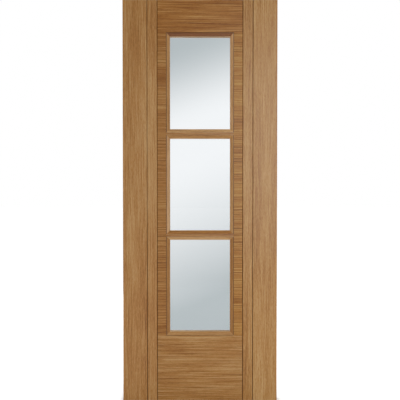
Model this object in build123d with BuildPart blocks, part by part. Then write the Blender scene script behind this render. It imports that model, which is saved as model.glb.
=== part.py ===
"""A glazed fire door leaf: oak-veneered stiles, a cross-grained centre panel and a column of glazed lights.

Millimetres. X runs from the hinge edge to the lock edge, Y from the front face to the back face and Z up
from the foot of the leaf. The origin is on the hinge edge, at mid thickness, at the foot of the leaf.
"""

import os

from build123d import *

# Leaf
leaf_width = 762.0
leaf_height = 1981.0
leaf_thickness = 44.0

# Stiles, measured in from the leaf's long edges
lipping_thickness = 7.0
lipping_arris = 1.0
stile_width = 170.0
stile_groove_inset = 120.0

# Centre panel
top_rail_height = 160.0
bottom_rail_height = 325.0
post_width = 44.0
bar_height = 10.0
light_names = ("lower", "middle", "upper")
bar_names = ("lower", "upper")

# Veneered faces, and the V grooves cut into them
face_thickness = 4.0
groove_width = 3.6
groove_depth = 3.0

# Glazing
glass_thickness = 7.0
glass_edge_gap = 3.0
seal_thickness = 2.0
seal_setback = 2.0
bead_width = 18.0
bead_land = 1.4
bead_drop = 8.5
bead_nose_radius = 1.0
bead_toe_radius = 1.5
quirk_width = 2.6
quirk_depth = 4.0

# Levels that follow from the sizes above
front = -leaf_thickness / 2
core_front = front + face_thickness
panel_left = stile_width
panel_right = leaf_width - stile_width
panel_foot = bottom_rail_height
panel_head = leaf_height - top_rail_height
aperture_left = panel_left + post_width
aperture_right = panel_right - post_width
aperture_width = aperture_right - aperture_left
bars_height = bar_height * len(bar_names)
aperture_height = (panel_head - panel_foot - bars_height) / len(light_names)
light_pitch = aperture_height + bar_height
light_centre_x = leaf_width / 2
seal_front = -glass_thickness / 2 - seal_thickness
bead_depth = seal_front - front
glass_width = aperture_width - 2 * glass_edge_gap
glass_height = aperture_height - 2 * glass_edge_gap
sight_width = aperture_width - 2 * bead_width
sight_height = aperture_height - 2 * bead_width
groove_lines = (
    stile_groove_inset,
    stile_width,
    leaf_width - stile_width,
    leaf_width - stile_groove_inset,
)

# Planes of symmetry of the leaf
mid_thickness = Plane.XZ
mid_width = Plane.YZ.offset(leaf_width / 2)


def save(piece, name):
    """Labels a finished piece and writes it as one STEP file."""
    piece.part.label = name
    export_step(piece.part, f"parts/{name}.step")


def mirrored(piece, about):
    """The piece's mirror image in a plane of symmetry of the leaf."""
    with BuildPart() as image:
        mirror(piece.part, about=about)
    return image


def light_foot(index):
    """Height of the foot of a light's aperture, counted from the lowest light."""
    return panel_foot + index * light_pitch


def core_block(left, right, bottom, top):
    """A block of the core, between the two veneered faces."""
    with BuildPart() as block:
        with BuildSketch(Plane.XY.offset(bottom)):
            with Locations(((left + right) / 2, 0)):
                Rectangle(right - left, -2 * core_front)
        extrude(amount=top - bottom)
    return block


def front_face(left, right, bottom, top):
    """A veneered face on the front of the leaf, with its share of the V grooves."""
    with BuildPart() as face:
        with BuildSketch(Plane.XY.offset(bottom)):
            with Locations(((left + right) / 2, front + face_thickness / 2)):
                Rectangle(right - left, face_thickness)
            with Locations(*[(line, front) for line in groove_lines]):
                Polygon(
                    (-groove_width / 2, 0),
                    (groove_width / 2, 0),
                    (0, groove_depth),
                    align=None,
                    mode=Mode.SUBTRACT,
                )
        extrude(amount=top - bottom)
    return face


def mitred_bead(inward, centre, reach, length):
    """One front glazing bead: splayed down to the glass, quirked where it meets the wood, mitred at both ends.

    inward points from the aperture's wall to the middle of the light, centre is that middle on the front
    face, reach is its distance from the wall and length is the length of the wall.
    """
    into_leaf = Vector(0, 1, 0)
    wall = Plane(centre - inward * reach, x_dir=inward, z_dir=inward.cross(into_leaf))
    with BuildPart() as bead:
        with BuildSketch(wall) as section:
            with BuildLine():
                Polyline(
                    (0, quirk_depth),
                    (quirk_width, quirk_depth),
                    (quirk_width, 0),
                    (quirk_width + bead_land, 0),
                    (bead_width, bead_drop),
                    (bead_width, bead_depth),
                    (0, bead_depth),
                    close=True,
                )
            make_face()
            nose = section.vertices().sort_by_distance((quirk_width + bead_land, 0))[0]
            fillet(nose, bead_nose_radius)
            toe = section.vertices().sort_by_distance((bead_width, bead_drop))[0]
            fillet(toe, bead_toe_radius)
        extrude(amount=length / 2, both=True)
        for along in (wall.z_dir, -wall.z_dir):
            corner = wall.origin + along * (length / 2)
            split(bisect_by=Plane(corner, z_dir=inward + along), keep=Keep.BOTTOM)
    return bead


def bead_pair(inward, centre, reach, length):
    """The two beads on opposite sides of a light."""
    near = mitred_bead(inward, centre, reach, length)
    far = mitred_bead(-inward, centre, reach, length)
    with BuildPart() as pair:
        add(near.part)
        add(far.part)
    return pair


def make_lippings():
    """Solid lippings that close the long edges, seen as a narrow strip on both faces."""
    with BuildPart() as lipping:
        with BuildSketch() as section:
            with Locations((lipping_thickness / 2, 0)):
                Rectangle(lipping_thickness, leaf_thickness)
            fillet(section.vertices().group_by(Axis.X)[0], lipping_arris)
        extrude(amount=leaf_height)
    save(lipping, "hinge_edge_lipping")
    save(mirrored(lipping, mid_width), "lock_edge_lipping")


def make_faced_member(name, left, right, bottom, top):
    """A member of the leaf: its core block and the veneered faces on its front and back."""
    face = front_face(left, right, bottom, top)
    save(core_block(left, right, bottom, top), f"{name}_core")
    save(face, f"{name}_front_face")
    save(mirrored(face, mid_thickness), f"{name}_back_face")


def make_handed_members(name, left, right, bottom, top):
    """A member on the hinge side and its twin on the lock side."""
    make_faced_member(f"hinge_{name}", left, right, bottom, top)
    make_faced_member(f"lock_{name}", leaf_width - right, leaf_width - left, bottom, top)


def make_glazing_bars():
    """Solid bars between the lights, through the whole thickness of the leaf."""
    for index, name in enumerate(bar_names):
        with BuildPart() as bar:
            with BuildSketch(Plane.XY.offset(light_foot(index) + aperture_height)):
                with Locations((light_centre_x, 0)):
                    Rectangle(aperture_width, leaf_thickness)
            extrude(amount=bar_height)
        save(bar, f"{name}_glazing_bar")


def make_light(name, centre_z):
    """One light: its pane, the seals on both sides of the pane, and the beads that hold them."""
    mid_light = Plane((light_centre_x, 0, centre_z), x_dir=(1, 0, 0), z_dir=(0, -1, 0))
    with BuildPart() as pane:
        with BuildSketch(mid_light):
            Rectangle(glass_width, glass_height)
        extrude(amount=glass_thickness / 2, both=True)
    save(pane, f"{name}_glass_pane")

    with BuildPart() as seals:
        with BuildSketch(mid_light.offset(glass_thickness / 2)):
            Rectangle(glass_width, glass_height)
            Rectangle(
                sight_width + 2 * seal_setback,
                sight_height + 2 * seal_setback,
                mode=Mode.SUBTRACT,
            )
        extrude(amount=seal_thickness)
        mirror(about=mid_thickness)
    save(seals, f"{name}_glazing_seals")

    centre = Vector(light_centre_x, front, centre_z)
    cross_beads = bead_pair(Vector(0, 0, 1), centre, aperture_height / 2, aperture_width)
    upright_beads = bead_pair(Vector(1, 0, 0), centre, aperture_width / 2, aperture_height)
    for kind, pair in (("cross", cross_beads), ("upright", upright_beads)):
        save(pair, f"{name}_front_{kind}_beads")
        save(mirrored(pair, mid_thickness), f"{name}_back_{kind}_beads")


os.makedirs("parts", exist_ok=True)

make_lippings()
make_handed_members("stile", lipping_thickness, panel_left, 0, leaf_height)
make_handed_members("post", panel_left, aperture_left, panel_foot, panel_head)
make_faced_member("top_rail", panel_left, panel_right, panel_head, leaf_height)
make_faced_member("bottom_rail", panel_left, panel_right, 0, panel_foot)
make_glazing_bars()
for light_index, light_name in enumerate(light_names):
    make_light(light_name, light_foot(light_index) + aperture_height / 2)
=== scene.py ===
"""Looks of a glazed fire door leaf: oak, glass and glazing finishes, glazing pins, and a plain studio.

Metres, in the leaf's own frame: X from the hinge edge to the lock edge, Y from the front face to the back
face, Z up from the foot of the leaf.
"""

from __future__ import annotations

import logging
import math
from abc import ABC, abstractmethod
from dataclasses import dataclass, replace
from enum import Enum
from typing import Iterable, Iterator, Optional, Sequence, Union

import bpy
from mathutils import Color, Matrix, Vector


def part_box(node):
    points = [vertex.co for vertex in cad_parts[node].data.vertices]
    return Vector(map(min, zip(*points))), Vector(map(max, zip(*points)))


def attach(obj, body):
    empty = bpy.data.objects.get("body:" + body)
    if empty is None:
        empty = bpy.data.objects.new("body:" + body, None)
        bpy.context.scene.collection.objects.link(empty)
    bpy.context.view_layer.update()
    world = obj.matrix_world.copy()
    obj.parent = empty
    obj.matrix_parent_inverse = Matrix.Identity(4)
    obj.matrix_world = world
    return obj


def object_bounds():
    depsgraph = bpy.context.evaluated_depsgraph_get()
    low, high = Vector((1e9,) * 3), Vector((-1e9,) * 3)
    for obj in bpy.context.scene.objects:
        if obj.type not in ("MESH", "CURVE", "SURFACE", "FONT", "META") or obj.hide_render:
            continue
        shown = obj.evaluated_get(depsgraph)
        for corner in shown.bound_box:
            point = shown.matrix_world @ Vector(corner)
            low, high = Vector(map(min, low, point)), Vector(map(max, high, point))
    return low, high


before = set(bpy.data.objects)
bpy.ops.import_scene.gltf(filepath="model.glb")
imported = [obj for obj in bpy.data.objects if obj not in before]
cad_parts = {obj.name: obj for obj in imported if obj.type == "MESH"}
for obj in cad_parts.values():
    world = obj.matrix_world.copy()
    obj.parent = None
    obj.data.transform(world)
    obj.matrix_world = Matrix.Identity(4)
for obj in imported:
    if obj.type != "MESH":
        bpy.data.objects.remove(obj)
cad_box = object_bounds()

log = logging.getLogger("fire_door")

Socket = bpy.types.NodeSocket
Feed = Union[float, str, Sequence[float], bpy.types.Material, Socket]
Feeds = dict[Union[int, str], Feed]
Rgb = tuple[int, int, int]
Tint = tuple[float, float, float]
Triple = tuple[float, float, float]

BODY = "root"
WHITE = (1.0, 1.0, 1.0, 1.0)
SCREEN_WHITE = 255
NOISE_MEAN = 0.5

# Sockets of a mix node that blends colours
MIX_SHARE = 0
MIX_FIRST = 6
MIX_SECOND = 7
MIX_RESULT = 2


class Grain(Enum):
    """The way that the grain of a piece runs, with the coordinates along, across and through it."""

    UPRIGHT = ("Z", "X", "Y")
    ACROSS = ("X", "Z", "Y")


class Face(Enum):
    """The two faces of the leaf, by the sign of Y outside them."""

    FRONT = -1
    BACK = 1

    @property
    def side(self) -> str:
        """The face's word in the names of pieces."""
        return self.name.lower()


class Turned(Enum):
    """How a surface of a bead is turned, with a test of how far its normal points along Y."""

    FLAT = ("GREATER_THAN", 0.97)
    SQUARE = ("LESS_THAN", 0.5)


class Spot(Enum):
    """The middle of the front face, of the leaf or of the back face, in half thicknesses along Y."""

    FRONT = -1
    MIDDLE = 0
    BACK = 1


def linear(shade: Rgb) -> tuple[float, float, float, float]:
    """Turns a shade as seen on a screen into a scene colour.

    Args:
        shade: red, green and blue, from 0 to 255.

    Returns:
        The same colour in scene-linear values, with an alpha of 1.
    """
    scene = Color([value / SCREEN_WHITE for value in shade]).from_srgb_to_scene_linear()
    return (*scene, 1.0)


class Bench:
    """Adds nodes to one node tree and wires them."""

    def __init__(self, tree: bpy.types.NodeTree) -> None:
        """Empties the tree.

        Args:
            tree: the node tree to fill.
        """
        self.tree = tree
        tree.nodes.clear()

    def node(self, kind: str, feeds: Optional[Feeds] = None, **settings: object) -> bpy.types.Node:
        """Adds a node.

        Args:
            kind: Blender's name for the node's type.
            feeds: what feeds its inputs, by their names or numbers.
            settings: attributes to set on it first.

        Returns:
            The new node.
        """
        made = self.tree.nodes.new(kind)
        for name, value in settings.items():
            setattr(made, name, value)
        for key, value in (feeds or {}).items():
            self.feed(made.inputs[key], value)
        return made

    def feed(self, socket: Socket, value: Feed) -> None:
        """Links a socket, or sets its own value.

        Args:
            socket: the input socket.
            value: an output socket, or the value to set.
        """
        if isinstance(value, bpy.types.NodeSocket):
            self.tree.links.new(value, socket)
        else:
            socket.default_value = value

    def place(self) -> Socket:
        """Coordinates in the leaf's frame, in metres."""
        return self.node("ShaderNodeTexCoord").outputs["Object"]

    def split(self, vector: Socket) -> bpy.types.NodeOutputs:
        """The parts of a vector, by the names X, Y and Z."""
        return self.node("ShaderNodeSeparateXYZ", {0: vector}).outputs

    def math(self, operation: str, first: Feed, second: Feed = 0.0, clamp: bool = False) -> Socket:
        """Adds one sum.

        Args:
            operation: Blender's name for the operation.
            first: first number.
            second: second number, where the operation has one.
            clamp: whether the result is kept from 0 to 1.

        Returns:
            The result.
        """
        made = self.node("ShaderNodeMath", {0: first, 1: second}, operation=operation, use_clamp=clamp)
        return made.outputs[0]

    def ease(self, value: Feed, low: float, high: float) -> Socket:
        """Eases a value from 0 to 1.

        Args:
            value: what is eased.
            low: value at which the result is 0.
            high: value at which the result is 1.

        Returns:
            The eased value.
        """
        feeds = {"Value": value, "From Min": low, "From Max": high}
        return self.node("ShaderNodeMapRange", feeds, interpolation_type="SMOOTHSTEP").outputs[0]

    def stretch(self, vector: Socket, cell: Sequence[float], shift: Sequence[float]) -> Socket:
        """Scales coordinates so that one cell of a pattern has a given size.

        Args:
            vector: coordinates in metres.
            cell: size of a cell in metres, one number for each coordinate.
            shift: offset of the pattern, in cells.

        Returns:
            The scaled coordinates.
        """
        feeds = {"Vector": vector, "Scale": [1 / size for size in cell], "Location": shift}
        return self.node("ShaderNodeMapping", feeds).outputs[0]

    def noise(self, vector: Socket, detail: float = 1.0) -> Socket:
        """Adds soft noise with cells of about one unit.

        Args:
            vector: coordinates in cells.
            detail: number of finer layers.

        Returns:
            The noise, centred on 0 and mostly from -0.5 to 0.5.
        """
        feeds = {"Vector": vector, "Scale": 1.0, "Detail": detail}
        made = self.node("ShaderNodeTexNoise", feeds, noise_dimensions="3D")
        return self.math("SUBTRACT", made.outputs[0], NOISE_MEAN)

    def weigh(self, start: float, parts: Sequence[tuple[Feed, float]]) -> Socket:
        """Adds up weighted values.

        Args:
            start: number to start from.
            parts: pairs of a value and its weight.

        Returns:
            The total.
        """
        total: Feed = start
        for value, weight in parts:
            feeds = {0: value, 1: weight, 2: total}
            total = self.node("ShaderNodeMath", feeds, operation="MULTIPLY_ADD").outputs[0]
        return total

    def ramp(self, value: Socket, stops: Sequence[tuple[float, Rgb]]) -> Socket:
        """Turns a value into a colour.

        Args:
            value: place on the ramp, from 0 to 1.
            stops: pairs of a place and its shade, in order.

        Returns:
            The colour.
        """
        made = self.node("ShaderNodeValToRGB", {0: value})
        elements = made.color_ramp.elements
        while len(elements) < len(stops):
            elements.new(1.0)
        for element, (place, shade) in zip(elements, stops):
            element.position = place
            element.color = linear(shade)
        return made.outputs[0]

    def blend(self, share: Feed, first: Feed, second: Feed, way: str = "MIX") -> Socket:
        """Blends two colours.

        Args:
            share: share of the second colour.
            first: first colour.
            second: second colour.
            way: Blender's name for the way of blending.

        Returns:
            The blended colour.
        """
        feeds = {MIX_SHARE: share, MIX_FIRST: first, MIX_SECOND: second}
        made = self.node("ShaderNodeMix", feeds, data_type="RGBA", blend_type=way)
        return made.outputs[MIX_RESULT]

    def bump(self, height: Socket, strength: float, distance: float) -> Socket:
        """Turns a height into a surface normal.

        Args:
            height: height from 0 to 1.
            strength: share of the bump that shows.
            distance: height in metres of a value of 1.

        Returns:
            The normal.
        """
        feeds = {"Strength": strength, "Distance": distance, "Height": height}
        return self.node("ShaderNodeBump", feeds).outputs[0]

    def surface(self, feeds: Feeds) -> None:
        """Ends the tree in one principled surface.

        Args:
            feeds: what feeds the surface's inputs, by their names.
        """
        shader = self.node("ShaderNodeBsdfPrincipled", feeds)
        self.node("ShaderNodeOutputMaterial", {"Surface": shader.outputs[0]})


def new_material(name: str) -> tuple[bpy.types.Material, Bench]:
    """Starts a material.

    Args:
        name: name of the material.

    Returns:
        The material, and a bench for its nodes.
    """
    made = bpy.data.materials.new(name)
    made.use_nodes = True
    return made, Bench(made.node_tree)


# Tones of oak, on a scale from the open pores at 0 to past the palest wood at 1
MIDDLE_TONE = 0.55
TONE_PLACES = (0.0, 0.3, MIDDLE_TONE, 0.9)


@dataclass(frozen=True)
class OakTones:
    """The shades of one kind of oak, from its open pores to its palest wood."""

    pore: Rgb
    dark: Rgb
    middle: Rgb
    light: Rgb

    def stops(self) -> list[tuple[float, Rgb]]:
        """The shades with their places on the scale of tone."""
        return list(zip(TONE_PLACES, (self.pore, self.dark, self.middle, self.light)))


@dataclass(frozen=True)
class GrainLayer:
    """One layer of the oak's pattern: soft streaks along the grain, or sharper lines where they peak."""

    length: float
    width: float
    weight: float
    detail: float = 1.5
    peaks: Optional[tuple[float, float]] = None

    def draw(self, bench: Bench, grain: Socket, shift: Sequence[float]) -> Socket:
        """Draws the layer.

        Args:
            bench: the bench of the material.
            grain: coordinates along, across and through the grain.
            shift: offset of the pattern, in cells.

        Returns:
            The streaks, centred on 0, or the lines, from 0 to 1.
        """
        cell = (self.length, self.width, self.width)
        streaks = bench.noise(bench.stretch(grain, cell, shift), self.detail)
        return bench.ease(streaks, *self.peaks) if self.peaks else streaks


@dataclass(frozen=True)
class OakFigure:
    """The pattern of one cut of oak: the sway of its grain, its growth rings and its layers of streaks."""

    sway: float
    sway_length: float
    sway_width: float
    ring_pitch: float
    ring_weight: float
    layers: tuple[GrainLayer, ...]
    ring_cell: Triple = (0.4, 0.03, 0.03)
    ring_spread: float = 2.5
    ring_rise: float = 0.6
    ring_fall: float = 0.85
    ring_mean: float = 0.55

    def grain_space(self, bench: Bench, place: Socket, grain: Grain, shift: Triple) -> Socket:
        """Coordinates along, across and through the swaying grain.

        Args:
            bench: the bench of the material.
            place: coordinates in the leaf's frame.
            grain: the way that the grain runs.
            shift: offset of the pattern, in cells.

        Returns:
            The coordinates, in metres.
        """
        axes = bench.split(place)
        along, across, through = [axes[name] for name in grain.value]
        straight = bench.node("ShaderNodeCombineXYZ", {0: along, 1: across, 2: through}).outputs[0]
        cell = (self.sway_length, self.sway_width, self.sway_width)
        sway = bench.noise(bench.stretch(straight, cell, shift))
        swayed = bench.weigh(0.0, [(across, 1.0), (sway, self.sway)])
        return bench.node("ShaderNodeCombineXYZ", {0: along, 1: swayed, 2: through}).outputs[0]

    def rings(self, bench: Bench, grain: Socket, shift: Triple) -> Socket:
        """Growth rings of uneven strength, which part and close where the grain sways.

        Args:
            bench: the bench of the material.
            grain: coordinates along, across and through the grain.
            shift: offset of the pattern, in cells.

        Returns:
            The rings, centred on 0, low in the open early wood of each ring.
        """
        spread = bench.noise(bench.stretch(grain, self.ring_cell, shift))
        count = bench.math("DIVIDE", bench.split(grain)["Y"], self.ring_pitch)
        count = bench.weigh(0.0, [(count, 1.0), (spread, self.ring_spread)])
        phase = bench.math("FRACT", count)
        rise = bench.ease(phase, 0.0, self.ring_rise)
        fall = bench.ease(phase, 1.0, self.ring_fall)
        profile = bench.math("SUBTRACT", bench.math("MULTIPLY", rise, fall), self.ring_mean)
        number = bench.math("FLOOR", count)
        lot = bench.node("ShaderNodeTexWhiteNoise", {"W": number}, noise_dimensions="1D")
        return bench.math("MULTIPLY", profile, lot.outputs["Value"])


class Coat(ABC):
    """A change of colour over part of the oak."""

    @abstractmethod
    def lay(self, bench: Bench, place: Socket, colour: Socket) -> Socket:
        """Lays the change over the wood.

        Args:
            bench: the bench of the material.
            place: coordinates in the leaf's frame.
            colour: the wood's colour so far.

        Returns:
            The wood's colour with the change.
        """


@dataclass(frozen=True)
class StockChange(Coat):
    """A change of tint along an axis, with the tint on both sides: the tone of a board together with
    painted light, shade and sheen.
    """

    axis: str
    place: float
    below: Tint
    above: Tint

    def lay(self, bench: Bench, place: Socket, colour: Socket) -> Socket:
        """Tints the wood on either side of the change.

        Args:
            bench: the bench of the material.
            place: coordinates in the leaf's frame.
            colour: the wood's colour so far.

        Returns:
            The colour on the two sides.
        """
        past = bench.math("GREATER_THAN", bench.split(place)[self.axis], self.place)
        tint = bench.blend(past, (*self.below, 1.0), (*self.above, 1.0))
        return bench.blend(1.0, colour, tint, "MULTIPLY")


@dataclass(frozen=True)
class BeadStain(Coat):
    """Painted light and shade: one flat shade on the surfaces of a bead turned one way and within a level
    of mid leaf.
    """

    turned: Turned
    level: float
    shade: Rgb

    def lay(self, bench: Bench, place: Socket, colour: Socket) -> Socket:
        """Gives those surfaces their shade.

        Args:
            bench: the bench of the material.
            place: coordinates in the leaf's frame.
            colour: the wood's colour so far.

        Returns:
            The wood's colour with the painted light and shade.
        """
        test, limit = self.turned.value
        normal = bench.node("ShaderNodeNewGeometry").outputs["True Normal"]
        turned = bench.math(test, bench.math("ABSOLUTE", bench.split(normal)["Y"]), limit)
        deep = bench.math("LESS_THAN", bench.math("ABSOLUTE", bench.split(place)["Y"]), self.level)
        return bench.blend(bench.math("MULTIPLY", turned, deep), colour, linear(self.shade))


BROWN_BOARD: Rgb = (74, 41, 16)

# Painted shade on the floor of a bead's quirk, and painted light on its edge beside the glass
PAINTED_QUIRK_SHADE = BeadStain(Turned.FLAT, level=0.0215, shade=BROWN_BOARD)
PAINTED_SIGHT_EDGE_LIGHT = BeadStain(Turned.SQUARE, level=0.0140, shade=(230, 190, 143))


@dataclass(frozen=True)
class Veneer(Coat):
    """A thin veneer, cut by the V grooves down to brown board, which shows paler in a band around 1.29 m
    up.
    """

    face: float
    thickness: float = 0.0006
    edge_above: float = 0.0001
    edge_below: float = 0.0002
    board: Rgb = BROWN_BOARD
    rubbed_height: float = 1.29
    rubbed_reach: tuple[float, float] = (0.30, 0.62)
    rubbed_share: float = 0.42

    def lay(self, bench: Bench, place: Socket, colour: Socket) -> Socket:
        """Shows the board under the veneer.

        Args:
            bench: the bench of the material.
            place: coordinates in the leaf's frame.
            colour: the veneer's colour.

        Returns:
            The veneer's colour, and the board's below it.
        """
        axes = bench.split(place)
        edge = self.face - self.thickness
        out = bench.math("ABSOLUTE", axes["Y"])
        below = bench.ease(out, edge + self.edge_above, edge - self.edge_below)
        away = bench.math("ABSOLUTE", bench.math("SUBTRACT", axes["Z"], self.rubbed_height))
        near, far = self.rubbed_reach
        dark = bench.weigh(1.0, [(bench.ease(away, far, near), -self.rubbed_share)])
        return bench.blend(bench.math("MULTIPLY", below, dark), colour, linear(self.board))


@dataclass(frozen=True)
class Lacquer:
    """The satin coat on the oak, and how far the grain shows through it in roughness and relief."""

    ior: float = 1.45
    gloss: float = 0.36
    roughness: float = 0.33
    tone_roughness: float = 0.1
    pore_roughness: float = 0.2
    mean_height: float = 0.5
    fibre_height: float = 0.5
    pore_height: float = -0.6
    ring_height: float = 0.2
    relief_share: float = 0.3
    relief: float = 0.0002


@dataclass(frozen=True)
class OakFinish:
    """Lacquered oak, with the changes of colour that lie over it in order."""

    name: str
    grain: Grain
    tones: OakTones
    figure: OakFigure
    shift: Triple
    coats: tuple[Coat, ...] = ()
    lacquer: Lacquer = Lacquer()
    fibre: GrainLayer = GrainLayer(length=0.05, width=0.0013, weight=0.22)
    pore: GrainLayer = GrainLayer(length=0.014, width=0.0005, weight=-0.25, detail=0.0, peaks=(0.12, 0.24))
    layer_step: float = 13.7

    def material(self) -> bpy.types.Material:
        """Builds the material.

        Returns:
            The material.
        """
        made, bench = new_material(self.name)
        place = bench.place()
        grain = self.figure.grain_space(bench, place, self.grain, self.shift)
        ring = self.figure.rings(bench, grain, self.shift)
        fibre = self.fibre.draw(bench, grain, self.shift)
        pore = self.pore.draw(bench, grain, self.shift)
        parts = [(ring, self.figure.ring_weight), (fibre, self.fibre.weight), (pore, self.pore.weight)]
        for number, layer in enumerate(self.figure.layers, start=1):
            shift = [part + self.layer_step * number for part in self.shift]
            parts.append((layer.draw(bench, grain, shift), layer.weight))
        tone = bench.weigh(MIDDLE_TONE, parts)
        colour = bench.ramp(tone, self.tones.stops())
        for coat in self.coats:
            colour = coat.lay(bench, place, colour)
        lacquer = self.lacquer
        heights = [(fibre, lacquer.fibre_height), (pore, lacquer.pore_height), (ring, lacquer.ring_height)]
        height = bench.weigh(lacquer.mean_height, heights)
        dullness = [(tone, lacquer.tone_roughness), (pore, lacquer.pore_roughness)]
        bench.surface(
            {
                "Base Color": colour,
                "Roughness": bench.weigh(lacquer.roughness, dullness),
                "Normal": bench.bump(height, lacquer.relief_share, lacquer.relief),
                "IOR": lacquer.ior,
                "Specular IOR Level": lacquer.gloss,
            }
        )
        return made


@dataclass(frozen=True)
class BoardFinish:
    """Bare particle board with pale and dark chips, as it shows on the sawn head and foot."""

    name: str = "particle_board"
    pale: Rgb = (196, 164, 122)
    dark: Rgb = (138, 102, 66)
    chip: Triple = (0.004, 0.0022, 0.004)
    chip_shift: Triple = (0.0, 0.0, 0.0)
    chip_contrast: float = 0.8
    dust: Triple = (0.0008, 0.0008, 0.0008)
    dust_shift: Triple = (3.0, 5.0, 7.0)
    dust_detail: float = 2.0
    dust_contrast: float = 0.5
    lowest_tone: float = 0.1
    middle_tone: float = 0.45
    roughness: float = 0.8
    dust_roughness: float = 0.2
    relief_share: float = 0.5
    relief: float = 0.0004

    def material(self) -> bpy.types.Material:
        """Builds the material.

        Returns:
            The material.
        """
        made, bench = new_material(self.name)
        place = bench.place()
        cells = {"Vector": bench.stretch(place, self.chip, self.chip_shift), "Scale": 1.0}
        lots = bench.node("ShaderNodeTexVoronoi", cells, feature="F1").outputs["Color"]
        chips = bench.node("ShaderNodeSeparateColor", {0: lots}).outputs[0]
        dust = bench.noise(bench.stretch(place, self.dust, self.dust_shift), self.dust_detail)
        tone = bench.weigh(self.lowest_tone, [(chips, self.chip_contrast), (dust, self.dust_contrast)])
        middle = tuple((pale + dark) // 2 for pale, dark in zip(self.pale, self.dark))
        stops = [(0.0, self.dark), (self.middle_tone, middle), (1.0, self.pale)]
        bench.surface(
            {
                "Base Color": bench.ramp(tone, stops),
                "Roughness": bench.weigh(self.roughness, [(dust, self.dust_roughness)]),
                "Normal": bench.bump(tone, self.relief_share, self.relief),
            }
        )
        return made


@dataclass(frozen=True)
class GlassFinish:
    """Clear fire-resisting glass with a faint cool tint and a very slight waviness."""

    name: str = "clear_glass"
    tint: Rgb = (250, 251, 251)
    ior: float = 1.5
    wave: Triple = (0.16, 0.5, 0.22)
    wave_shift: Triple = (2.0, 0.0, 4.0)
    relief_share: float = 0.1
    relief: float = 0.0002

    def material(self) -> bpy.types.Material:
        """Builds the material.

        Returns:
            The material.
        """
        made, bench = new_material(self.name)
        wave = bench.noise(bench.stretch(bench.place(), self.wave, self.wave_shift), detail=0.0)
        bench.surface(
            {
                "Base Color": linear(self.tint),
                "Roughness": 0.0,
                "IOR": self.ior,
                "Transmission Weight": 1.0,
                "Normal": bench.bump(wave, self.relief_share, self.relief),
            }
        )
        return made


@dataclass(frozen=True)
class SpeckledFinish:
    """A matt finish with fine specks, from a base shade to a paler one."""

    name: str
    base: Rgb
    pale: Rgb
    speck: float
    shift: Triple
    contrast: float
    roughness: float
    speck_roughness: float
    relief_share: float
    relief: float
    detail: float = 2.0
    middle_tone: float = 0.5
    base_tone: float = 0.1
    pale_tone: float = 0.9

    def material(self) -> bpy.types.Material:
        """Builds the material.

        Returns:
            The material.
        """
        made, bench = new_material(self.name)
        cell = (self.speck, self.speck, self.speck)
        specks = bench.noise(bench.stretch(bench.place(), cell, self.shift), self.detail)
        tone = bench.weigh(self.middle_tone, [(specks, self.contrast)])
        stops = [(self.base_tone, self.base), (self.pale_tone, self.pale)]
        bench.surface(
            {
                "Base Color": bench.ramp(tone, stops),
                "Roughness": bench.weigh(self.roughness, [(specks, self.speck_roughness)]),
                "Normal": bench.bump(tone, self.relief_share, self.relief),
            }
        )
        return made


# Tan closed-cell tape on both sides of each pane
GLAZING_TAPE = SpeckledFinish(
    name="glazing_tape",
    base=(164, 132, 98),
    pale=(192, 162, 126),
    speck=0.0006,
    shift=(0.0, 0.0, 0.0),
    contrast=1.4,
    roughness=0.75,
    speck_roughness=0.3,
    relief_share=0.4,
    relief=0.0002,
)

# Wood filler in the pin holes of the beads
PIN_FILLER = SpeckledFinish(
    name="pin_filler",
    base=(118, 80, 46),
    pale=(146, 104, 64),
    speck=0.0004,
    shift=(1.0, 2.0, 3.0),
    contrast=1.2,
    roughness=0.55,
    speck_roughness=0.2,
    relief_share=0.3,
    relief=0.0001,
)

STILE_OAK = OakTones(pore=(86, 48, 15), dark=(135, 84, 30), middle=(156, 110, 57), light=(176, 138, 90))
PANEL_OAK = OakTones(pore=(82, 44, 11), dark=(123, 74, 22), middle=(145, 99, 45), light=(168, 131, 83))
BEAD_OAK = OakTones(pore=(88, 54, 24), dark=(136, 91, 42), middle=(158, 113, 60), light=(178, 136, 84))
LIPPING_OAK = OakTones(pore=(84, 50, 20), dark=(130, 84, 35), middle=(152, 106, 53), light=(172, 129, 76))

# Straight-grained oak, the long lines of the cross-grained rails and the close rungs of the posts
RIFT_FIGURE = OakFigure(
    sway=0.012,
    sway_length=0.8,
    sway_width=0.10,
    ring_pitch=0.012,
    ring_weight=0.10,
    layers=(
        GrainLayer(length=0.90, width=0.060, weight=0.62),
        GrainLayer(length=0.16, width=0.0032, weight=0.62),
        GrainLayer(length=0.09, width=0.0017, weight=0.72),
        GrainLayer(length=0.018, width=0.0020, weight=0.55),
        GrainLayer(length=0.16, width=0.0030, weight=-0.10, detail=0.0, peaks=(0.12, 0.24)),
    ),
)
CROWN_FIGURE = OakFigure(
    sway=0.008,
    sway_length=0.60,
    sway_width=0.12,
    ring_pitch=0.020,
    ring_weight=0.06,
    layers=(
        GrainLayer(length=0.60, width=0.110, weight=0.48),
        GrainLayer(length=0.30, width=0.0019, weight=1.00),
        GrainLayer(length=0.20, width=0.0011, weight=1.40),
        GrainLayer(length=0.025, width=0.0020, weight=0.35),
        GrainLayer(length=0.30, width=0.0030, weight=-0.10, detail=0.0, peaks=(0.15, 0.20)),
        GrainLayer(length=0.26, width=0.0034, weight=0.26, detail=0.0, peaks=(0.15, 0.20)),
        GrainLayer(length=0.24, width=0.018, weight=0.26),
    ),
)
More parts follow.
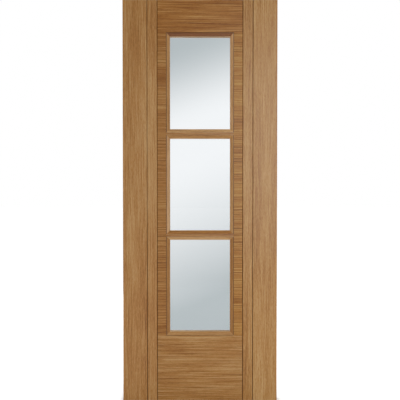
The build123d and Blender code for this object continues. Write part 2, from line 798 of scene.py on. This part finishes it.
LADDER_FIGURE = replace(
    CROWN_FIGURE,
    ring_pitch=0.011,
    ring_weight=0.48,
    layers=(
        GrainLayer(length=0.60, width=0.110, weight=0.48),
        GrainLayer(length=0.30, width=0.0019, weight=0.90),
        GrainLayer(length=0.20, width=0.0011, weight=1.40),
        GrainLayer(length=0.025, width=0.0020, weight=0.35),
        GrainLayer(length=0.30, width=0.0030, weight=-0.10, detail=0.0, peaks=(0.15, 0.20)),
        GrainLayer(length=0.26, width=0.0034, weight=0.20, detail=0.0, peaks=(0.15, 0.20)),
        GrainLayer(length=0.24, width=0.030, weight=0.40),
    ),
)


def dress(name: str, material: bpy.types.Material) -> None:
    """Gives a piece of the frame its finish.

    Args:
        name: name of the piece.
        material: its finish.
    """
    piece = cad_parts[name]
    piece.data.materials.clear()
    piece.data.materials.append(material)
    log.info("dressed %s in %s", name, material.name)


def dress_members(names: Sequence[str], veneer: bpy.types.Material, core: bpy.types.Material) -> None:
    """Dresses the faces and the cores of veneered members.

    Args:
        names: names of the members.
        veneer: finish of their front and back faces.
        core: finish of the board inside them.
    """
    for name in names:
        for face in Face:
            dress(f"{name}_{face.side}_face", veneer)
        dress(f"{name}_core", core)


@dataclass
class Stiles:
    """The upright members with their edge lippings, each stile with its own tint: board tone with painted
    light and sheen, paler and brighter on the lock stile.
    """

    half_thickness: float
    middle: Vector
    hinge_tint: Tint = (0.93, 0.96, 0.99)
    lock_tint: Tint = (1.00, 1.10, 1.21)
    veneer_shift: Triple = (3.1, 7.7, 1.3)
    lipping_shift: Triple = (8.2, 2.4, 5.9)
    names: tuple[str, ...] = ("hinge_stile", "lock_stile")
    lippings: tuple[str, ...] = ("hinge_edge_lipping", "lock_edge_lipping")

    def dress(self, core: bpy.types.Material) -> None:
        """Dresses the stiles.

        Args:
            core: finish of the board inside them.
        """
        by_hand = StockChange("X", self.middle.x, self.hinge_tint, self.lock_tint)
        coats = (by_hand, Veneer(self.half_thickness))
        stile = OakFinish(
            "upright_oak_veneer", Grain.UPRIGHT, STILE_OAK, RIFT_FIGURE, self.veneer_shift, coats
        )
        edge = OakFinish("oak_lipping", Grain.UPRIGHT, LIPPING_OAK, RIFT_FIGURE, self.lipping_shift)
        dress_members(self.names, stile.material(), core)
        lipping = edge.material()
        for name in self.lippings:
            dress(name, lipping)


@dataclass
class CentrePanel:
    """The rails and posts that frame the lights, faced with cross-grained veneer, and the solid bars."""

    half_thickness: float
    middle: Vector
    # Tints of the rails and posts: board tones with painted light and shade, darker and warmer on the top
    # rail and the hinge post, paler on the bottom rail.
    foot_tint: Tint = (1.00, 1.04, 1.14)
    head_tint: Tint = (0.92, 0.84, 0.69)
    hinge_tint: Tint = (0.87, 0.80, 0.66)
    lock_tint: Tint = (0.97, 0.93, 0.69)
    shift: Triple = (1.7, 4.2, 6.6)
    veneer_gloss: float = 0.26
    rails: tuple[str, ...] = ("top_rail", "bottom_rail")
    posts: tuple[str, ...] = ("hinge_post", "lock_post")
    bars: tuple[str, ...] = ("upper_glazing_bar", "lower_glazing_bar")

    def dress(self, core: bpy.types.Material) -> None:
        """Dresses the rails, posts and bars.

        Args:
            core: finish of the board inside them.
        """
        solid = OakFinish("cross_oak_bar", Grain.ACROSS, PANEL_OAK, CROWN_FIGURE, self.shift)
        veneered = replace(solid, lacquer=Lacquer(gloss=self.veneer_gloss))
        veneer = Veneer(self.half_thickness)
        by_height = StockChange("Z", self.middle.z, self.foot_tint, self.head_tint)
        rail = replace(veneered, name="rail_oak_veneer", coats=(by_height, veneer))
        by_hand = StockChange("X", self.middle.x, self.hinge_tint, self.lock_tint)
        post = replace(veneered, name="post_oak_veneer", figure=LADDER_FIGURE, coats=(by_hand, veneer))
        dress_members(self.rails, rail.material(), core)
        dress_members(self.posts, post.material(), core)
        bar = solid.material()
        for name in self.bars:
            dress(name, bar)


@dataclass(frozen=True)
class Light:
    """One glazed light: its pane, its tape and its beads, each bead with its own tint, which paints the
    light, shade and sheen on that bead over its board's tone.
    """

    name: str
    head: Tint
    foot: Tint
    hinge_side: Tint
    lock_side: Tint
    cross_shift: Triple = (5.5, 1.1, 9.4)
    upright_shift: Triple = (2.2, 6.3, 0.7)

    def dress(self, glass: bpy.types.Material, tape: bpy.types.Material) -> None:
        """Dresses the light.

        Args:
            glass: finish of the pane.
            tape: finish of the tape.
        """
        low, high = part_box(f"{self.name}_glass_pane")
        middle = (low + high) / 2
        cross = OakFinish(
            f"{self.name}_cross_bead_oak",
            Grain.ACROSS,
            BEAD_OAK,
            RIFT_FIGURE,
            self.cross_shift,
            coats=(StockChange("Z", middle.z, self.foot, self.head), PAINTED_SIGHT_EDGE_LIGHT),
        ).material()
        upright = OakFinish(
            f"{self.name}_upright_bead_oak",
            Grain.UPRIGHT,
            BEAD_OAK,
            RIFT_FIGURE,
            self.upright_shift,
            coats=(
                StockChange("X", middle.x, self.hinge_side, self.lock_side),
                PAINTED_QUIRK_SHADE,
                PAINTED_SIGHT_EDGE_LIGHT,
            ),
        ).material()
        dress(f"{self.name}_glass_pane", glass)
        dress(f"{self.name}_glazing_seals", tape)
        for face in Face:
            dress(f"{self.name}_{face.side}_cross_beads", cross)
            dress(f"{self.name}_{face.side}_upright_beads", upright)


# Bead tints are painted light, shade and sheen over the boards' tones: the upper light's head bead is
# painted in deep shade, the pale bluer tints paint light and sheen.
LIGHTS = (
    Light(
        "upper",
        head=(0.40, 0.26, 0.09),
        foot=(1.48, 1.80, 2.80),
        hinge_side=(0.89, 0.90, 1.00),
        lock_side=(1.13, 1.25, 1.80),
    ),
    Light(
        "middle",
        head=(1.03, 1.07, 1.13),
        foot=(1.00, 0.91, 0.75),
        hinge_side=(1.12, 1.30, 2.08),
        lock_side=(1.05, 1.13, 1.42),
    ),
    Light(
        "lower",
        head=(1.32, 1.58, 2.35),
        foot=(0.93, 0.94, 0.97),
        hinge_side=(0.80, 0.75, 0.66),
        lock_side=(0.73, 0.64, 0.49),
    ),
)


@dataclass
class GlazingPins:
    """Filled pin heads in the splay of every bead."""

    lights: Sequence[Light]
    filler: bpy.types.Material
    bead_width: float = 0.018
    splay_start: float = 0.004
    splay_drop: float = 0.0085
    spacing: float = 0.14
    end_gap: float = 0.055
    diameter: float = 0.002
    depth: float = 0.0012
    proud: float = 0.00006
    sides: int = 12

    def build(self) -> bpy.types.Object:
        """Makes all the pin heads as one mesh.

        Returns:
            The object that holds them.
        """
        lines = self._lines()
        piece = bpy.data.objects.new("glazing_pin_fillers", lines)
        bpy.context.scene.collection.objects.link(piece)
        sizes = {"Spacing": self.spacing, "Radius": self.diameter / 2, "Depth": self.depth}
        modifier = piece.modifiers.new("pins", "NODES")
        modifier.node_group, keys = self._tree(sizes)
        for name, value in sizes.items():
            modifier[keys[name]] = value
        evaluated = piece.evaluated_get(bpy.context.evaluated_depsgraph_get())
        heads = bpy.data.meshes.new_from_object(evaluated)
        heads.name = "glazing_pin_fillers"
        piece.modifiers.clear()
        piece.data = heads
        bpy.data.meshes.remove(lines)
        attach(piece, BODY)
        log.info("made %s with %d faces", piece.name, len(heads.polygons))
        return piece

    def _lines(self) -> bpy.types.Mesh:
        """Draws the line of pins on each bead.

        Returns:
            Loose edges, whose ends carry the direction that the splay faces.
        """
        ends: list[Vector] = []
        facing: list[Vector] = []
        for light in self.lights:
            for face in Face:
                for start, end, way in self._bead_lines(light, face):
                    ends += [start, end]
                    facing += [way, way]
        mesh = bpy.data.meshes.new("pin_lines")
        mesh.from_pydata(ends, [(first, first + 1) for first in range(0, len(ends), 2)], [])
        layer = mesh.attributes.new("facing", "FLOAT_VECTOR", "POINT")
        layer.data.foreach_set("vector", [part for way in facing for part in way])
        return mesh

    def _bead_lines(self, light: Light, face: Face) -> Iterator[tuple[Vector, Vector, Vector]]:
        """The pin lines of one light on one face.

        Args:
            light: the light.
            face: the face of the leaf.

        Yields:
            The start and end of a line, and the direction that the splay faces there.
        """
        low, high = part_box(f"{light.name}_{face.side}_cross_beads")
        middle = (low + high) / 2
        half = (high - low) / 2
        out = Vector((0, face.value, 0))
        surface = high.y if face is Face.BACK else low.y
        splay = Vector((self.bead_width - self.splay_start, self.splay_drop)).normalized()
        inset = (self.splay_start + self.bead_width) / 2
        sink = self.depth / 2 - self.proud
        for inward in (Vector((1, 0, 0)), Vector((-1, 0, 0)), Vector((0, 0, 1)), Vector((0, 0, -1))):
            along = Vector((abs(inward.z), 0, abs(inward.x)))
            reach = half.x if inward.x else half.z
            run = (half.z if inward.x else half.x) - self.end_gap
            way = out * splay.x + inward * splay.y
            centre = middle - inward * (reach - inset)
            centre.y = surface - out.y * self.splay_drop / 2
            centre -= way * sink
            yield centre - along * run, centre + along * run, way

    def _tree(self, sizes: Iterable[str]) -> tuple[bpy.types.NodeTree, dict[str, str]]:
        """The nodes that set a pin head along each line.

        Args:
            sizes: names of the inputs for the spacing, radius and depth.

        Returns:
            The tree, and the identifier of each of those inputs by name.
        """
        tree = bpy.data.node_groups.new("pin_heads", "GeometryNodeTree")
        ports = tree.interface
        ports.new_socket("Lines", in_out="INPUT", socket_type="NodeSocketGeometry")
        keys = {}
        for name in sizes:
            port = ports.new_socket(name, in_out="INPUT", socket_type="NodeSocketFloat")
            keys[name] = port.identifier
        ports.new_socket("Heads", in_out="OUTPUT", socket_type="NodeSocketGeometry")
        bench = Bench(tree)
        start = bench.node("NodeGroupInput").outputs
        curve = bench.node("GeometryNodeMeshToCurve", {"Mesh": start["Lines"]}).outputs["Curve"]
        steps = {"Curve": curve, "Length": start["Spacing"]}
        points = bench.node("GeometryNodeResampleCurve", steps, mode="LENGTH").outputs["Curve"]
        solid = {"Vertices": self.sides, "Radius": start["Radius"], "Depth": start["Depth"]}
        head = bench.node("GeometryNodeMeshCylinder", solid).outputs["Mesh"]
        facing = bench.node("GeometryNodeInputNamedAttribute", {"Name": "facing"}, data_type="FLOAT_VECTOR")
        aim = {"Vector": facing.outputs["Attribute"]}
        turn = bench.node("FunctionNodeAlignRotationToVector", aim, axis="Z").outputs["Rotation"]
        places = {"Points": points, "Instance": head, "Rotation": turn}
        copies = bench.node("GeometryNodeInstanceOnPoints", places).outputs["Instances"]
        real = bench.node("GeometryNodeRealizeInstances", {"Geometry": copies}).outputs["Geometry"]
        finish = bench.node("GeometryNodeSetMaterial", {"Geometry": real, "Material": self.filler})
        bench.node("NodeGroupOutput", {"Heads": finish.outputs["Geometry"]})
        return tree, keys


@dataclass(frozen=True)
class Lamp:
    """A soft oblong lamp, set out from a spot on the leaf and aimed at it, or straight down."""

    name: str
    spot: Spot
    offset: Triple
    size: tuple[float, float]
    power: float
    aims_down: bool = False

    def hang(self, spot: Vector) -> None:
        """Makes the lamp.

        Args:
            spot: the spot that it is set out from.
        """
        data = bpy.data.lights.new(self.name, "AREA")
        data.shape = "RECTANGLE"
        data.size, data.size_y = self.size
        data.energy = self.power
        lamp = bpy.data.objects.new(self.name, data)
        lamp.location = spot + Vector(self.offset)
        aim = Vector((0.0, 0.0, -1.0)) if self.aims_down else -Vector(self.offset)
        lamp.rotation_euler = aim.to_track_quat("-Z", "Y").to_euler()
        lamp.visible_camera = False
        lamp.visible_transmission = False
        bpy.context.scene.collection.objects.link(lamp)


# Offsets and sizes in metres, powers in watts
LAMPS = (
    Lamp("key_lamp", Spot.FRONT, offset=(0.86, -3.0, 0.55), size=(0.8, 2.2), power=52.0),
    Lamp("floor_lamp", Spot.FRONT, offset=(0.0, -2.0, 0.0), size=(1.6, 1.0), power=11.0, aims_down=True),
    Lamp("back_lamp", Spot.BACK, offset=(-1.0, 2.6, 0.4), size=(2.0, 2.0), power=44.0),
    Lamp("hinge_edge_lamp", Spot.MIDDLE, offset=(-2.6, 0.0, 0.0), size=(0.3, 1.8), power=20.0),
    Lamp("lock_edge_lamp", Spot.MIDDLE, offset=(2.6, 0.0, 0.0), size=(0.3, 1.8), power=16.0),
)


@dataclass
class Studio:
    """A plain pale studio: white floor and surroundings, soft lamps and a camera before the leaf."""

    low: Vector
    high: Vector
    lamps: Sequence[Lamp] = LAMPS
    camera_distance: float = 2.6
    camera_rise: float = 0.05
    sensor: float = 36.0
    fill: float = 1.002
    floor_reach: float = 30.0
    floor_shade: Rgb = (236, 236, 236)
    floor_glow: float = 0.66
    shadow_reach: float = 0.30
    shadow_curve: float = 3.0
    shadow_samples: int = 16
    soft_light: float = 0.45
    pane_pale: Rgb = (247, 249, 251)
    pane_grey: Rgb = (183, 191, 194)
    pane_dusk: Rgb = (174, 183, 186)
    pane_lean: float = 0.4
    least_depth: float = 0.05
    grey_slopes: tuple[float, float] = (0.128, 0.301)
    dusk_slope: float = 0.061
    dusk_span: float = 0.274
    dusk_curve: float = 1.5

    def build(self) -> None:
        """Makes the floor, the surroundings, the lamps and the camera."""
        self._floor()
        self._surroundings()
        for lamp in self.lamps:
            lamp.hang(self._place(lamp.spot))
        self._camera(self._place(Spot.FRONT))
        bpy.context.scene.view_settings.view_transform = "Standard"

    def _place(self, spot: Spot) -> Vector:
        """Where a spot on the leaf is.

        Args:
            spot: the spot.

        Returns:
            Its place.
        """
        place = (self.low + self.high) / 2
        place.y += spot.value * (self.high.y - self.low.y) / 2
        return place

    def _floor(self) -> None:
        """Makes a white floor, whose glow dies away close to the leaf and leaves its shadow to be seen."""
        reach = self.floor_reach
        outline = ((-reach, -reach), (reach, -reach), (reach, reach), (-reach, reach))
        mesh = bpy.data.meshes.new("floor")
        mesh.from_pydata([(x, y, self.low.z) for x, y in outline], [], [(0, 1, 2, 3)])
        floor = bpy.data.objects.new("floor", mesh)
        bpy.context.scene.collection.objects.link(floor)
        floor.visible_transmission = False
        made, bench = new_material("pale_floor")
        matt = bench.node("ShaderNodeBsdfDiffuse", {"Color": linear(self.floor_shade)})
        path = bench.node("ShaderNodeLightPath").outputs
        shown = bench.math("MAXIMUM", path["Is Camera Ray"], path["Is Glossy Ray"])
        near = {"Distance": self.shadow_reach}
        open_air = bench.node("ShaderNodeAmbientOcclusion", near, samples=self.shadow_samples)
        openness = bench.math("POWER", open_air.outputs["AO"], self.shadow_curve)
        strength = bench.math("MULTIPLY", openness, self.floor_glow)
        glow = bench.node("ShaderNodeEmission", {"Strength": bench.math("MULTIPLY", shown, strength)})
        both = bench.node("ShaderNodeAddShader", {0: matt.outputs[0], 1: glow.outputs[0]})
        bench.node("ShaderNodeOutputMaterial", {"Surface": both.outputs[0]})
        mesh.materials.append(made)

    def _surroundings(self) -> None:
        """Makes white surroundings, which glass and lacquer see ease to a cool grey above and below."""
        world = bpy.data.worlds.new("studio")
        bpy.context.scene.world = world
        world.use_nodes = True
        bench = Bench(world.node_tree)
        ray = bench.split(bench.node("ShaderNodeTexCoord").outputs["Generated"])
        rise = bench.weigh(0.0, [(ray["Z"], 1.0), (ray["X"], -self.pane_lean)])
        depth = bench.math("MAXIMUM", bench.math("ABSOLUTE", ray["Y"]), self.least_depth)
        slope = bench.math("DIVIDE", rise, depth)
        above = bench.ease(slope, *self.grey_slopes)
        sunk = bench.math("SUBTRACT", self.dusk_slope, slope)
        below = bench.math("POWER", bench.math("DIVIDE", sunk, self.dusk_span, clamp=True), self.dusk_curve)
        shown = bench.blend(above, linear(self.pane_pale), linear(self.pane_grey))
        shown = bench.blend(below, shown, linear(self.pane_dusk))
        path = bench.node("ShaderNodeLightPath").outputs
        mirrored = bench.math("MAXIMUM", path["Is Glossy Ray"], path["Is Transmission Ray"])
        soft = (self.soft_light, self.soft_light, self.soft_light, 1.0)
        colour = bench.blend(mirrored, soft, shown)
        colour = bench.blend(path["Is Camera Ray"], colour, WHITE)
        sky = bench.node("ShaderNodeBackground", {"Color": colour})
        bench.node("ShaderNodeOutputWorld", {"Surface": sky.outputs[0]})

    def _camera(self, target: Vector) -> None:
        """Makes the camera, a little above the target, with the leaf as tall as the picture.

        Args:
            target: middle of the front face.
        """
        place = target + Vector((0, -self.camera_distance, self.camera_rise))
        to_head = math.atan2(self.high.z - place.z, self.camera_distance)
        to_foot = math.atan2(place.z - self.low.z, self.camera_distance)
        data = bpy.data.cameras.new("camera")
        data.sensor_width = self.sensor
        data.lens = self.fill * self.sensor / (2 * math.tan((to_head + to_foot) / 2))
        camera = bpy.data.objects.new("camera", data)
        camera.location = place
        camera.rotation_euler = (math.pi / 2 + (to_head - to_foot) / 2, 0.0, 0.0)
        bpy.context.scene.collection.objects.link(camera)
        bpy.context.scene.camera = camera


def main() -> None:
    """Dresses the leaf, adds its glazing pins and sets up the studio."""
    logging.basicConfig(level=logging.INFO, format="%(name)s: %(message)s")
    low, high = cad_box
    middle = (low + high) / 2
    half_thickness = (high.y - low.y) / 2
    core = BoardFinish().material()
    Stiles(half_thickness, middle).dress(core)
    CentrePanel(half_thickness, middle).dress(core)
    glass = GlassFinish().material()
    tape = GLAZING_TAPE.material()
    for light in LIGHTS:
        light.dress(glass, tape)
    GlazingPins(LIGHTS, PIN_FILLER.material()).build()
    Studio(low, high).build()


if __name__ == "__main__":
    main()
